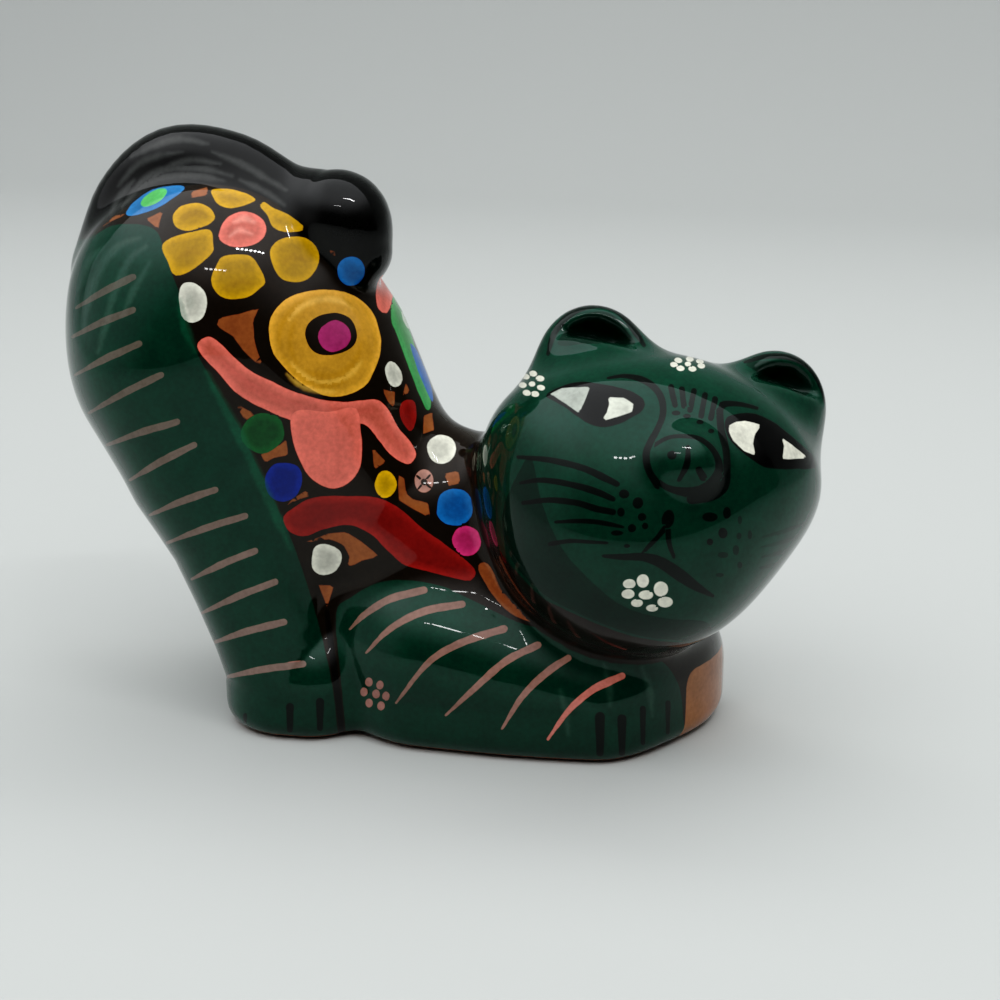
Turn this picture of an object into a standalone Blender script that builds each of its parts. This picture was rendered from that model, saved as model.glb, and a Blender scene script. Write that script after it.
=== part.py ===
"""A glazed clay cat, stretching with its rump up, its chin on its forelegs and its face turned to one side.

The figurine is pressed in one piece, so it is modelled as one closed skin. Every form of it (rump, torso,
legs, tail, head, ears, nose) is a field of distances, negative inside the clay. The fields are joined with a
soft crease of a named width, as wet clay and thick glaze leave it, and the zero surface becomes the mesh.

Metres, +Z up. The cat points along +X, its painted show side and its face are towards -Y, and the origin is
on the table under the middle of its box.
"""

import bpy
import numpy as np

# The whole figurine: nose to rump, across the cheeks and table to tail
LENGTH = 0.1207
WIDTH = 0.0511
HEIGHT = 0.0924
OVERALL = np.array((LENGTH, WIDTH, HEIGHT))

# All that follows are proportions: places are shares of the length, the width and the height, measured from
# the point on the table under the saddle, and radii, half sizes and creases are shares of the height
BOX_MIDDLE = (0.0124, -0.0157, 0.0)

# Each limb is a skin stretched round a row of balls, given as place and radius
# Torso: a fat pear, from the rump to the chest, a little narrower than it is deep
TORSO_BALLS = (
    ((-0.2817, 0.0, 0.671), 0.2652),
    ((-0.1988, 0.0, 0.5844), 0.2348),
    ((-0.0787, 0.0, 0.3626), 0.184),
    ((0.0663, 0.0, 0.2381), 0.1623),
)
TORSO_FLATNESS = 0.93

# Hind legs, from the hip to the toes
HIND_LEG_BALLS = (
    ((-0.3107, 0.1761, 0.5898), 0.1623),
    ((-0.2651, 0.2055, 0.4545), 0.1494),
    ((-0.2262, 0.2309, 0.3463), 0.1255),
    ((-0.1798, 0.2348, 0.1732), 0.1126),
    ((-0.1574, 0.2348, 0.092), 0.1126),
    ((-0.1284, 0.2348, 0.0866), 0.1082),
)

# Forelegs, from the shoulder to the paw, flat on the table. The far paw reaches further
FORELEG_BALLS = (
    ((0.029, 0.1859, 0.1461), 0.132),
    ((0.1408, 0.1859, 0.119), 0.119),
    ((0.2444, 0.1663, 0.092), 0.1082),
)
FAR_PAW_LEAD = 0.058

# The clay under the belly and between the paws, which closes the gaps down to the table
BELLY_BALLS = (
    ((-0.1491, 0.0, 0.1732), 0.1299),
    ((-0.0414, 0.0, 0.1515), 0.1732),
    ((0.0829, 0.0, 0.1623), 0.1515),
    ((0.2858, 0.0196, 0.1136), 0.119),
)

# Tail: lies along the top of the rump and ends in a thick tip that flops down
TAIL_BALLS = (
    ((-0.435, 0.0, 0.7576), 0.0649),
    ((-0.3977, 0.0, 0.8626), 0.0682),
    ((-0.3355, 0.0, 0.9264), 0.0703),
    ((-0.2568, 0.0, 0.9253), 0.0649),
    ((-0.1864, 0.0, 0.8788), 0.0649),
    ((-0.1284, -0.0196, 0.855), 0.0801),
    ((-0.1036, -0.0294, 0.8517), 0.0801),
    ((-0.087, -0.0391, 0.8063), 0.0628),
)

# Neck: fills the saddle between the back and the head
NECK_BALL = ((0.0663, 0.0, 0.4004), 0.0952)

# Head: a wide crown over a narrower chin, turned to face the show side. Each egg is (centre, half sizes),
# in the head's own directions: to its right, up and out of the face
HEAD_CENTRE = (0.3057, -0.0783, 0.4242)
CROWN = ((-0.0080, 0.0465, -0.0108), (0.2830, 0.1950, 0.2165))
CROWN_ROLL = 5.0
CHIN = ((-0.0210, -0.0812, 0.0), (0.2110, 0.1818, 0.1948))
FACE_TURN = 23.0
FACE_LIFT = 25.0
FACE_ROLL = 16.0

# Ears: upright domes that lean apart, each scooped out in front down to a ledge
EAR_MIDDLE = 0.0130
EAR_PLACE = (0.1494, 0.1775, 0.0)
EAR_HALF_SIZES = (0.0996, 0.1169, 0.0628)
EAR_SPLAY = 18.0
EAR_TWIST = 12.0
SCOOP_PLACE = (0.0, 0.0054, 0.0595)
SCOOP_HALF_SIZES = (0.0758, 0.0909, 0.0779)
LEDGE_HEIGHT = 0.2251

# Nose: a low button
NOSE_PLACE = (0.0, 0.0325, 0.1872)
NOSE_HALF_SIZES = (0.0606, 0.0541, 0.0541)

# Creases: how far each join is filled
FLANK_CREASE = 0.0758
PAW_CREASE = 0.0866
LEG_CREASE = 0.0325
TAIL_CREASE = 0.0325
NECK_CREASE = 0.0758
HEAD_CREASE = 0.0540
CROWN_CREASE = 0.1082
EAR_CREASE = 0.0487
SCOOP_CREASE = 0.028
NOSE_CREASE = 0.0271
FOOT_ROUNDING = 0.0430

# Mesh: the space round the clay that is searched for the skin, and the spacing of its points
SKIN_MARGIN = 0.045
SKIN_STEP = 0.0125
SOLID_TRIANGLES = 9600


def ball(points, centre, radius):
    return np.linalg.norm(points - np.asarray(centre), axis=-1) - radius


def egg(points, centre, radii, axes=np.eye(3)):
    """Near-distance to an ellipsoid whose axes are the rows of axes."""
    local = (points - np.asarray(centre)) @ np.asarray(axes).T
    radii = np.asarray(radii)
    reach = np.linalg.norm(local / radii, axis=-1)
    slope = np.linalg.norm(local / radii**2, axis=-1)
    return reach * (reach - 1.0) / np.maximum(slope, 1e-9)


def limb(points, start, end, start_radius, end_radius):
    """Distance to the skin stretched round two balls of different radius."""
    start = np.asarray(start, float)
    end = np.asarray(end, float)
    along = end - start
    length = np.linalg.norm(along)
    along = along / length
    lean = (start_radius - end_radius) / length
    rise = np.sqrt(1.0 - lean * lean)
    offset = points - start
    run = offset @ along
    out = np.linalg.norm(offset - run[..., None] * along, axis=-1)
    near = np.clip((run - out * lean / rise) / length, 0.0, 1.0)
    radius = start_radius + (end_radius - start_radius) * near
    centre = start + near[..., None] * along * length
    return np.linalg.norm(points - centre, axis=-1) - radius


def join(first, second, crease):
    """Soft union: within crease of the seam the two forms flow into each other."""
    fill = np.maximum(crease - np.abs(first - second), 0.0) / crease
    return np.minimum(first, second) - fill * fill * crease / 4.0


def carve(form, hollow, crease):
    """Soft cut of a hollow out of a form, with its lip rounded."""
    return -join(-form, hollow, crease)


def smooth_path(points, steps):
    """Catmull-Rom curve through the points, with steps stretches between each two."""
    points = np.asarray(points, float)
    padded = np.vstack([2 * points[0] - points[1], points, 2 * points[-1] - points[-2]])
    t = (np.arange(steps) / steps)[:, None]
    stretches = []
    for a, b, c, d in zip(padded, padded[1:], padded[2:], padded[3:]):
        stretches.append(
            0.5 * (2 * b + (c - a) * t + (2 * a - 5 * b + 4 * c - d) * t**2
                   + (3 * b - a - 3 * c + d) * t**3)
        )
    return np.vstack(stretches + [points[-1:]])


def tube(points, balls, steps=2):
    """Distance to the skin stretched along a smooth path of balls, each row x, y, z, radius."""
    path = smooth_path(balls, steps)
    field = None
    for start, end in zip(path, path[1:]):
        piece = limb(points, start[:3], end[:3], start[3], end[3])
        field = piece if field is None else np.minimum(field, piece)
    return field


def standing(points, height):
    """Points below height are lifted to it, so that a form reaches down to the table with upright walls."""
    lifted = points.copy()
    lifted[..., 2] = np.maximum(lifted[..., 2], height)
    return lifted


def head_axes():
    """Rows: the head's own right, up and face directions, as unit vectors of the row frame."""
    turn, lift, roll = np.radians((FACE_TURN, FACE_LIFT, FACE_ROLL))
    face = np.array((np.sin(turn) * np.cos(lift), -np.cos(turn) * np.cos(lift), np.sin(lift)))
    level = np.array((np.cos(turn), np.sin(turn), 0.0))
    top = np.cross(face, level)
    right = level * np.cos(roll) - top * np.sin(roll)
    up = level * np.sin(roll) + top * np.cos(roll)
    return np.array((right, up, face))


def limb_rows(balls, side=1, lead=0.0):
    """Rows of x, y, z, radius in metres, mirrored to one side, and drawn forward by lead at the last ball."""
    ahead = np.linspace(0.0, lead, len(balls))
    return [
        ((x + forward) * LENGTH, side * y * WIDTH, z * HEIGHT, radius * HEIGHT)
        for ((x, y, z), radius), forward in zip(balls, ahead)
    ]


def torso_field(points):
    return tube(points / (1.0, TORSO_FLATNESS, 1.0), limb_rows(TORSO_BALLS))


def standing_field(points, balls, side=1, lead=0.0):
    """A limb that stands on the table: below the middle of its last ball its walls are upright."""
    rows = limb_rows(balls, side, lead)
    return tube(standing(points, rows[-1][2]), rows)


def ear_field(local, side):
    """One ear's dome and its hollow, in the head's own directions and in shares of the height."""
    splay, twist = np.radians((side * EAR_SPLAY, side * EAR_TWIST))
    up = np.array((np.sin(splay), np.cos(splay), 0.0))
    across = np.array((np.cos(splay), -np.sin(splay), 0.0))
    front = np.cross(across, up) * np.cos(twist) + across * np.sin(twist)
    axes = np.array((np.cross(up, front), up, front))
    centre = np.array(EAR_PLACE) * (side, 1.0, 1.0) + (EAR_MIDDLE, 0.0, 0.0)
    dome = egg(local, centre, EAR_HALF_SIZES, axes)
    scoop = egg(local, centre + np.array(SCOOP_PLACE) @ axes, SCOOP_HALF_SIZES, axes)
    return dome, carve(scoop, local[..., 1] - LEDGE_HEIGHT, SCOOP_CREASE)


def head_field(points):
    local = (points - HEAD_CENTRE * OVERALL) @ head_axes().T / HEIGHT
    roll = np.radians(CROWN_ROLL)
    level = ((np.cos(roll), np.sin(roll), 0.0), (-np.sin(roll), np.cos(roll), 0.0), (0.0, 0.0, 1.0))
    field = join(egg(local, *CROWN, level), egg(local, *CHIN), CROWN_CREASE)
    for side in (-1, 1):
        dome, scoop = ear_field(local, side)
        field = carve(join(field, dome, EAR_CREASE), scoop, SCOOP_CREASE)
    return HEIGHT * join(field, egg(local, NOSE_PLACE, NOSE_HALF_SIZES), NOSE_CREASE)


def cat_field(points):
    """Distance to the whole figurine's skin, in metres, negative inside the clay."""
    points = points + BOX_MIDDLE * OVERALL
    rump = torso_field(points)
    base = standing_field(points, BELLY_BALLS)
    for side in (-1, 1):
        lead = FAR_PAW_LEAD if side > 0 else 0.0
        rump = join(rump, standing_field(points, HIND_LEG_BALLS, side), FLANK_CREASE * HEIGHT)
        base = join(base, standing_field(points, FORELEG_BALLS, side, lead), PAW_CREASE * HEIGHT)
    neck = ball(points, NECK_BALL[0] * OVERALL, NECK_BALL[1] * HEIGHT)
    rump = join(rump, neck, NECK_CREASE * HEIGHT)
    field = join(rump, base, LEG_CREASE * HEIGHT)
    field = join(field, tube(points, limb_rows(TAIL_BALLS), steps=4), TAIL_CREASE * HEIGHT)
    field = join(field, head_field(points), HEAD_CREASE * HEIGHT)
    return carve(field, points[..., 2], FOOT_ROUNDING * HEIGHT)


def skin(field, low, high, step):
    """Surface nets: one vertex in each grid cell that the zero surface crosses, one quad for each crossed edge.

    The values are first averaged with their neighbours, so that nothing thinner than a cell can pinch the skin.
    """
    counts = np.ceil((np.asarray(high) - np.asarray(low)) / step).astype(int) + 1
    ticks = [low[k] + step * np.arange(counts[k]) for k in range(3)]
    grid = np.stack(np.meshgrid(*ticks, indexing="ij"), axis=-1)
    value = np.concatenate([field(slab) for slab in grid[:, None]])
    for axis in range(3):
        middle = value.take(range(1, value.shape[axis] - 1), axis)
        before = value.take(range(value.shape[axis] - 2), axis)
        after = value.take(range(2, value.shape[axis]), axis)
        value = (before + 2.0 * middle + after) / 4.0
    grid = grid[1:-1, 1:-1, 1:-1]
    inside = value < 0.0
    cells = tuple(n - 1 for n in value.shape)
    total = np.zeros(cells + (3,))
    crossed = np.zeros(cells)
    for axis in range(3):
        across = [k for k in range(3) if k != axis]
        near = np.take(value, range(value.shape[axis] - 1), axis)
        far = np.take(value, range(1, value.shape[axis]), axis)
        cut = (near < 0.0) != (far < 0.0)
        share = np.where(cut, near / np.where(cut, near - far, 1.0), 0.0)
        place = np.take(grid, range(value.shape[axis] - 1), axis).copy()
        place[..., axis] += share * step
        place *= cut[..., None]
        for i in (0, 1):
            for j in (0, 1):
                window = [slice(None)] * 3
                window[across[0]] = slice(i, i + cells[across[0]])
                window[across[1]] = slice(j, j + cells[across[1]])
                total += place[tuple(window)]
                crossed += cut[tuple(window)]
    used = crossed > 0
    index = np.full(cells, -1)
    index[used] = np.arange(used.sum())
    vertices = total[used] / crossed[used][:, None]
    quads = []
    for axis in range(3):
        first, second = [(axis + 1) % 3, (axis + 2) % 3]
        near = np.take(inside, range(inside.shape[axis] - 1), axis)
        far = np.take(inside, range(1, inside.shape[axis]), axis)
        for starts, turn in ((near & ~far, 1), (far & ~near, -1)):
            at = np.argwhere(starts)
            corners = []
            for a, b in ((0, 0), (-1, 0), (-1, -1), (0, -1)):
                cell = at.copy()
                cell[:, first] += a
                cell[:, second] += b
                corners.append(index[tuple(cell.T)])
            quads.append(np.stack(corners, axis=1)[:, ::turn])
    return vertices, np.vstack(quads)


def settle(field, vertices, passes=4, reach=1e-5):
    """Newton steps that put every vertex on the zero surface."""
    for _ in range(passes):
        value = field(vertices)
        slope = np.stack(
            [(field(vertices + reach * unit) - value) / reach for unit in np.eye(3)], axis=1
        )
        vertices = vertices - slope * (value / np.maximum((slope**2).sum(1), 0.05))[:, None]
    return vertices


def cat_mesh(step):
    """Vertices and quads of the figurine's skin."""
    margin = SKIN_MARGIN * OVERALL
    low = OVERALL * (-0.5, -0.5, 0.0) - margin
    high = OVERALL * (0.5, 0.5, 1.0) + margin
    vertices, quads = skin(cat_field, low, high, step)
    return settle(cat_field, vertices), quads


def fired_clay():
    material = bpy.data.materials.new("glazed_clay")
    material.use_nodes = True
    shader = material.node_tree.nodes["Principled BSDF"]
    shader.inputs["Base Color"].default_value = (0.006, 0.055, 0.035, 1.0)
    shader.inputs["Roughness"].default_value = 0.12
    shader.inputs["Metallic"].default_value = 0.0
    return material


def main():
    for old in list(bpy.data.objects):
        bpy.data.objects.remove(old, do_unlink=True)
    vertices, quads = cat_mesh(SKIN_STEP * HEIGHT)
    mesh = bpy.data.meshes.new("clay_cat")
    mesh.from_pydata(vertices.tolist(), [], quads.tolist())
    mesh.update()
    mesh.shade_smooth()
    cat = bpy.data.objects.new("clay_cat", mesh)
    bpy.context.scene.collection.objects.link(cat)
    cat.data.materials.append(fired_clay())
    thin = cat.modifiers.new("fewer_faces", "DECIMATE")
    thin.ratio = SOLID_TRIANGLES / (2 * len(quads))
    return cat


if __name__ == "__main__":
    main()
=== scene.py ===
# %% [markdown]
# # A glazed clay cat, painted by hand
# The real figurine is pressed from low-fired red clay, fired, painted with opaque colours and varnished.
# The lesson gives it a fine skin, lays the paint on that skin stroke by stroke, and lights the varnish.
# Everything is in metres, in the same frame as the CAD solid.

import bpy
import numpy as np
from mathutils import Matrix


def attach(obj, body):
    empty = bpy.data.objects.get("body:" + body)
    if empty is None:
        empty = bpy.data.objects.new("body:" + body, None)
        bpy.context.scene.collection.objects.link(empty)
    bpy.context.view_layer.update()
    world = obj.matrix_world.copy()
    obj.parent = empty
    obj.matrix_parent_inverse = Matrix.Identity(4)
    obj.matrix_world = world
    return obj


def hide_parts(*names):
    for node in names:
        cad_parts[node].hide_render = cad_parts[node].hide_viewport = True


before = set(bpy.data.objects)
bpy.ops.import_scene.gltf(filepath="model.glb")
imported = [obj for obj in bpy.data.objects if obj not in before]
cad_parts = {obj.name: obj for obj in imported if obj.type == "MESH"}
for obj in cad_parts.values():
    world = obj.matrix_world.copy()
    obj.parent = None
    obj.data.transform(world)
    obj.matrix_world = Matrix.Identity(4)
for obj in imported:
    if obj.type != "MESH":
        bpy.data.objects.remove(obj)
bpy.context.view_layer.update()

# %% [markdown]
# ## The camera first
# The photo is taken from the cat's right, a little towards its face and a little above it. The camera comes
# first because the painting is measured in the photo, so each brush mark is placed by where it shows there.
# A phone deepens its darkest tones, so the view's curve does that too.

# %% Camera at the photo's angle
CAMERA_AZIMUTH = 15.0
CAMERA_ELEVATION = 18.0
CAMERA_TARGET = np.array((0.0105, 0.0008, 0.0355))
CAMERA_DISTANCE = 0.285
LENS = 65.0
SENSOR = 36.0
PHOTO_SIZE = 1000.0
MM_PER_PIXEL = 0.157
MM_PER_METRE = 1000.0

azimuth, elevation = np.radians((CAMERA_AZIMUTH, CAMERA_ELEVATION))
camera_back = np.array((np.sin(azimuth) * np.cos(elevation), -np.cos(azimuth) * np.cos(elevation),
                        np.sin(elevation)))
camera_right = np.array((np.cos(azimuth), np.sin(azimuth), 0.0))
camera_up = np.cross(camera_back, camera_right)
camera_place = CAMERA_TARGET + camera_back * CAMERA_DISTANCE


def photo_pixels(points):
    """Column and row at which points show in the photo: the offset across the view over the depth."""
    offset = points - camera_place
    depth = -(offset @ camera_back)
    reach = PHOTO_SIZE * LENS / SENSOR / depth
    return np.stack((PHOTO_SIZE / 2 + reach * (offset @ camera_right),
                     PHOTO_SIZE / 2 - reach * (offset @ camera_up)), axis=-1)


camera_data = bpy.data.cameras.new("camera")
camera_data.lens = LENS
camera_data.sensor_width = SENSOR
camera_data.clip_start = 0.01
camera = bpy.data.objects.new("camera", camera_data)
bpy.context.scene.collection.objects.link(camera)
turned = np.eye(4)
turned[:3, :3] = np.stack((camera_right, camera_up, camera_back), axis=1)
turned[:3, 3] = camera_place
camera.matrix_world = Matrix(turned.tolist())
bpy.context.scene.camera = camera

PHONE_BLACK = 0.004
PHONE_TONES = ((0.03, 0.013), (0.09, 0.076), (0.25, 0.25))
view = bpy.context.scene.view_settings
view.view_transform = "Standard"
view.use_curve_mapping = True
view.curve_mapping.black_level = (PHONE_BLACK,) * 3
# Curve 3 is the one that all channels share.
for tone in PHONE_TONES:
    view.curve_mapping.curves[3].points.new(*tone)
view.curve_mapping.update()
print("the saddle shows at", photo_pixels(np.array((0.008, 0.0, 0.045))).round())

# %% [markdown]
# ## The forms of the clay
# A press mould leaves no hard edges, and the thick varnish softens what is left. Each form is a field of
# distances, negative inside the clay, and soft joins stand for wiped clay. Sculpting or metaballs could give
# such a form too, but a field written as a formula keeps the solid's own sizes exactly.

# %% Fields of distances
BOX_MIDDLE = (0.0015, -0.0008)
TORSO_BALLS = ((-0.0340, 0.0, 0.0620, 0.0245), (-0.0240, 0.0, 0.0540, 0.0217),
    (-0.0095, 0.0, 0.0335, 0.0170), (0.0080, 0.0, 0.0220, 0.0150))
TORSO_FLATNESS = 0.93
HIND_LEG_BALLS = ((-0.0375, 0.0090, 0.0545, 0.0150), (-0.0320, 0.0105, 0.0420, 0.0138),
    (-0.0273, 0.0118, 0.0320, 0.0116), (-0.0217, 0.0120, 0.0160, 0.0104), (-0.0190, 0.0120, 0.0085, 0.0104),
    (-0.0155, 0.0120, 0.0080, 0.0100))
FORELEG_BALLS = ((0.0035, 0.0095, 0.0135, 0.0122), (0.0170, 0.0095, 0.0110, 0.0110),
    (0.0295, 0.0085, 0.0085, 0.0100))
FAR_PAW_LEAD = 0.0070
BELLY_BALLS = ((-0.0180, 0.0, 0.0160, 0.0120), (-0.0050, 0.0, 0.0140, 0.0160),
    (0.0100, 0.0, 0.0150, 0.0140), (0.0345, 0.0010, 0.0105, 0.0110))
TAIL_BALLS = ((-0.0525, 0.0, 0.0700, 0.0060), (-0.0480, 0.0, 0.0797, 0.0063),
    (-0.0405, 0.0, 0.0856, 0.0065), (-0.0310, 0.0, 0.0855, 0.0060), (-0.0225, 0.0, 0.0812, 0.0060),
    (-0.0155, -0.0010, 0.0790, 0.0074), (-0.0125, -0.0015, 0.0787, 0.0074),
    (-0.0105, -0.0020, 0.0745, 0.0058))
NECK_BALL = (0.0080, 0.0, 0.0370, 0.0088)
HEAD_CENTRE = (0.0369, -0.0040, 0.0392)
CROWN = ((-0.00074, 0.00430, -0.00100), (0.02615, 0.01802, 0.02000))
CROWN_ROLL = 5.0
CHIN = ((-0.00194, -0.00750, 0.0), (0.01950, 0.01680, 0.01800))
FACE_TURN = 23.0
FACE_LIFT = 25.0
FACE_ROLL = 16.0
EAR_MIDDLE = 0.0012
EAR_PLACE = (0.0138, 0.0164, 0.0)
EAR_HALF_SIZES = (0.0092, 0.0108, 0.0058)
EAR_SPLAY = 18.0
EAR_TWIST = 12.0
SCOOP_PLACE = (0.0, 0.0005, 0.0055)
SCOOP_HALF_SIZES = (0.0070, 0.0084, 0.0072)
LEDGE_HEIGHT = 0.0208
NOSE_PLACE = (0.0, 0.0030, 0.0173)
NOSE_HALF_SIZES = (0.0056, 0.0050, 0.0050)
FLANK_CREASE = 0.0070
PAW_CREASE = 0.0080
LEG_CREASE = 0.0030
TAIL_CREASE = 0.0030
NECK_CREASE = 0.0070
HEAD_CREASE = 0.0050
CROWN_CREASE = 0.0100
EAR_CREASE = 0.0045
SCOOP_CREASE = 0.0018
NOSE_CREASE = 0.0025
FOOT_ROUNDING = 0.0040


def egg(points, centre, radii, axes=np.eye(3)):
    """Near-distance to an ellipsoid: (reach - 1) times reach over the slope of reach."""
    local = (points - np.asarray(centre)) @ np.asarray(axes).T
    reach = np.linalg.norm(local / np.asarray(radii), axis=-1)
    slope = np.linalg.norm(local / np.asarray(radii) ** 2, axis=-1)
    return reach * (reach - 1.0) / np.maximum(slope, 1e-9)


def limb(points, start, end):
    """Distance to the skin stretched round two balls of different radius, each x, y, z, radius."""
    along = end[:3] - start[:3]
    length = np.linalg.norm(along)
    along = along / length
    lean = (start[3] - end[3]) / length
    offset = points - start[:3]
    run = offset @ along
    out = np.linalg.norm(offset - run[..., None] * along, axis=-1)
    near = np.clip((run - out * lean / np.sqrt(1.0 - lean * lean)) / length, 0.0, 1.0)
    centre = start[:3] + near[..., None] * along * length
    return np.linalg.norm(points - centre, axis=-1) - (start[3] + (end[3] - start[3]) * near)


def join(first, second, crease):
    """Soft union: the smaller one, less a quarter of the crease where both are equal."""
    fill = np.maximum(crease - np.abs(first - second), 0.0) / crease
    return np.minimum(first, second) - fill * fill * crease / 4.0


def carve(form, hollow, crease):
    """Soft cut of a hollow out of a form, with its lip rounded."""
    return -join(-form, hollow, crease)


def smooth_path(points, steps):
    """Cubic curve through the points, steps stretches between each two; its slope at a point is half the
    step from the point before to the point after."""
    points = np.asarray(points, float)
    padded = np.vstack([2 * points[0] - points[1], points, 2 * points[-1] - points[-2]])
    t = (np.arange(steps) / steps)[:, None]
    stretches = [0.5 * (2 * b + (c - a) * t + (2 * a - 5 * b + 4 * c - d) * t**2
                        + (3 * b - a - 3 * c + d) * t**3)
                 for a, b, c, d in zip(padded, padded[1:], padded[2:], padded[3:])]
    return np.vstack(stretches + [points[-1:]])


def tube(points, balls, side=1, lead=0.0, steps=2):
    """Distance to the skin along a smooth path of balls, mirrored to a side and drawn forward by lead."""
    balls = np.array(balls) * (1.0, side, 1.0, 1.0)
    balls[:, 0] += np.linspace(0.0, lead, len(balls))
    path = smooth_path(balls, steps)
    return np.minimum.reduce([limb(points, start, end) for start, end in zip(path, path[1:])])


def standing(points, height):
    """Points below height are lifted to it, so that a form reaches down to the table with upright walls."""
    lifted = points.copy()
    lifted[..., 2] = np.maximum(lifted[..., 2], height)
    return lifted


def head_axes():
    """Rows: the head's own right, up and face directions, turned, lifted, then rolled about the face."""
    turn, lift, roll = np.radians((FACE_TURN, FACE_LIFT, FACE_ROLL))
    face = np.array((np.sin(turn) * np.cos(lift), -np.cos(turn) * np.cos(lift), np.sin(lift)))
    level = np.array((np.cos(turn), np.sin(turn), 0.0))
    top = np.cross(face, level)
    return np.array((level * np.cos(roll) - top * np.sin(roll),
                     level * np.sin(roll) + top * np.cos(roll), face))


def ear_field(local, side):
    """One ear in the head's own directions: its dome, and the scoop in front that stops at a ledge."""
    splay, twist = np.radians((side * EAR_SPLAY, side * EAR_TWIST))
    up = np.array((np.sin(splay), np.cos(splay), 0.0))
    across = np.array((np.cos(splay), -np.sin(splay), 0.0))
    front = np.cross(across, up) * np.cos(twist) + across * np.sin(twist)
    axes = np.array((np.cross(up, front), up, front))
    centre = np.array(EAR_PLACE) * (side, 1.0, 1.0) + (EAR_MIDDLE, 0.0, 0.0)
    dome = egg(local, centre, EAR_HALF_SIZES, axes)
    scoop = egg(local, centre + np.array(SCOOP_PLACE) @ axes, SCOOP_HALF_SIZES, axes)
    return dome, carve(scoop, local[..., 1] - LEDGE_HEIGHT, SCOOP_CREASE)


def head_field(points):
    """Distance to the head: crown and chin eggs joined, each ear joined and scooped, and the nose joined."""
    local = (points - np.asarray(HEAD_CENTRE)) @ head_axes().T
    roll = np.radians(CROWN_ROLL)
    level = ((np.cos(roll), np.sin(roll), 0.0), (-np.sin(roll), np.cos(roll), 0.0), (0.0, 0.0, 1.0))
    field = join(egg(local, *CROWN, level), egg(local, *CHIN), CROWN_CREASE)
    for side in (-1, 1):
        dome, scoop = ear_field(local, side)
        field = carve(join(field, dome, EAR_CREASE), scoop, SCOOP_CREASE)
    return join(field, egg(local, NOSE_PLACE, NOSE_HALF_SIZES), NOSE_CREASE)


def cat_forms(points):
    """Distances to the rump, the base, the tail and the head, each on its own."""
    points = points + np.array((*BOX_MIDDLE, 0.0))
    rump = tube(points / (1.0, TORSO_FLATNESS, 1.0), TORSO_BALLS)
    base = tube(standing(points, BELLY_BALLS[-1][2]), BELLY_BALLS)
    for side in (-1, 1):
        rump = join(rump, tube(standing(points, HIND_LEG_BALLS[-1][2]), HIND_LEG_BALLS, side), FLANK_CREASE)
        paw = tube(standing(points, FORELEG_BALLS[-1][2]), FORELEG_BALLS, side, FAR_PAW_LEAD * (side > 0))
        base = join(base, paw, PAW_CREASE)
    neck = np.linalg.norm(points - NECK_BALL[:3], axis=-1) - NECK_BALL[3]
    return join(rump, neck, NECK_CREASE), base, tube(points, TAIL_BALLS, steps=6), head_field(points)


def cat_field(points):
    """Distance to the whole figurine's skin, in metres, negative inside the clay."""
    rump, base, tail, head = cat_forms(points)
    field = join(join(rump, base, LEG_CREASE), tail, TAIL_CREASE)
    return carve(join(field, head, HEAD_CREASE), points[..., 2], FOOT_ROUNDING)


nose_middle = HEAD_CENTRE + np.array(NOSE_PLACE) @ head_axes() - (*BOX_MIDDLE, 0.0)
nose_depth = -cat_field(nose_middle[None])[0] * MM_PER_METRE
print("the nose's middle lies", round(float(nose_depth), 1), "mm deep in the clay")

# %% [markdown]
# ## A skin for the fields
# Surface nets put one vertex in each grid cell that the skin crosses and one quad across each crossed edge.
# Each quad is then split in four and every vertex slides onto the skin, so highlights run smoothly over it.
# Blender's Remesh modifier could build a skin from the solid, but it would keep the solid's facets.

# %% Surface nets, one split, and the settling
SKIN_LOW = (-0.070, -0.032, -0.004)
SKIN_HIGH = (0.070, 0.032, 0.098)
SKIN_STEP = 0.00124


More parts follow.
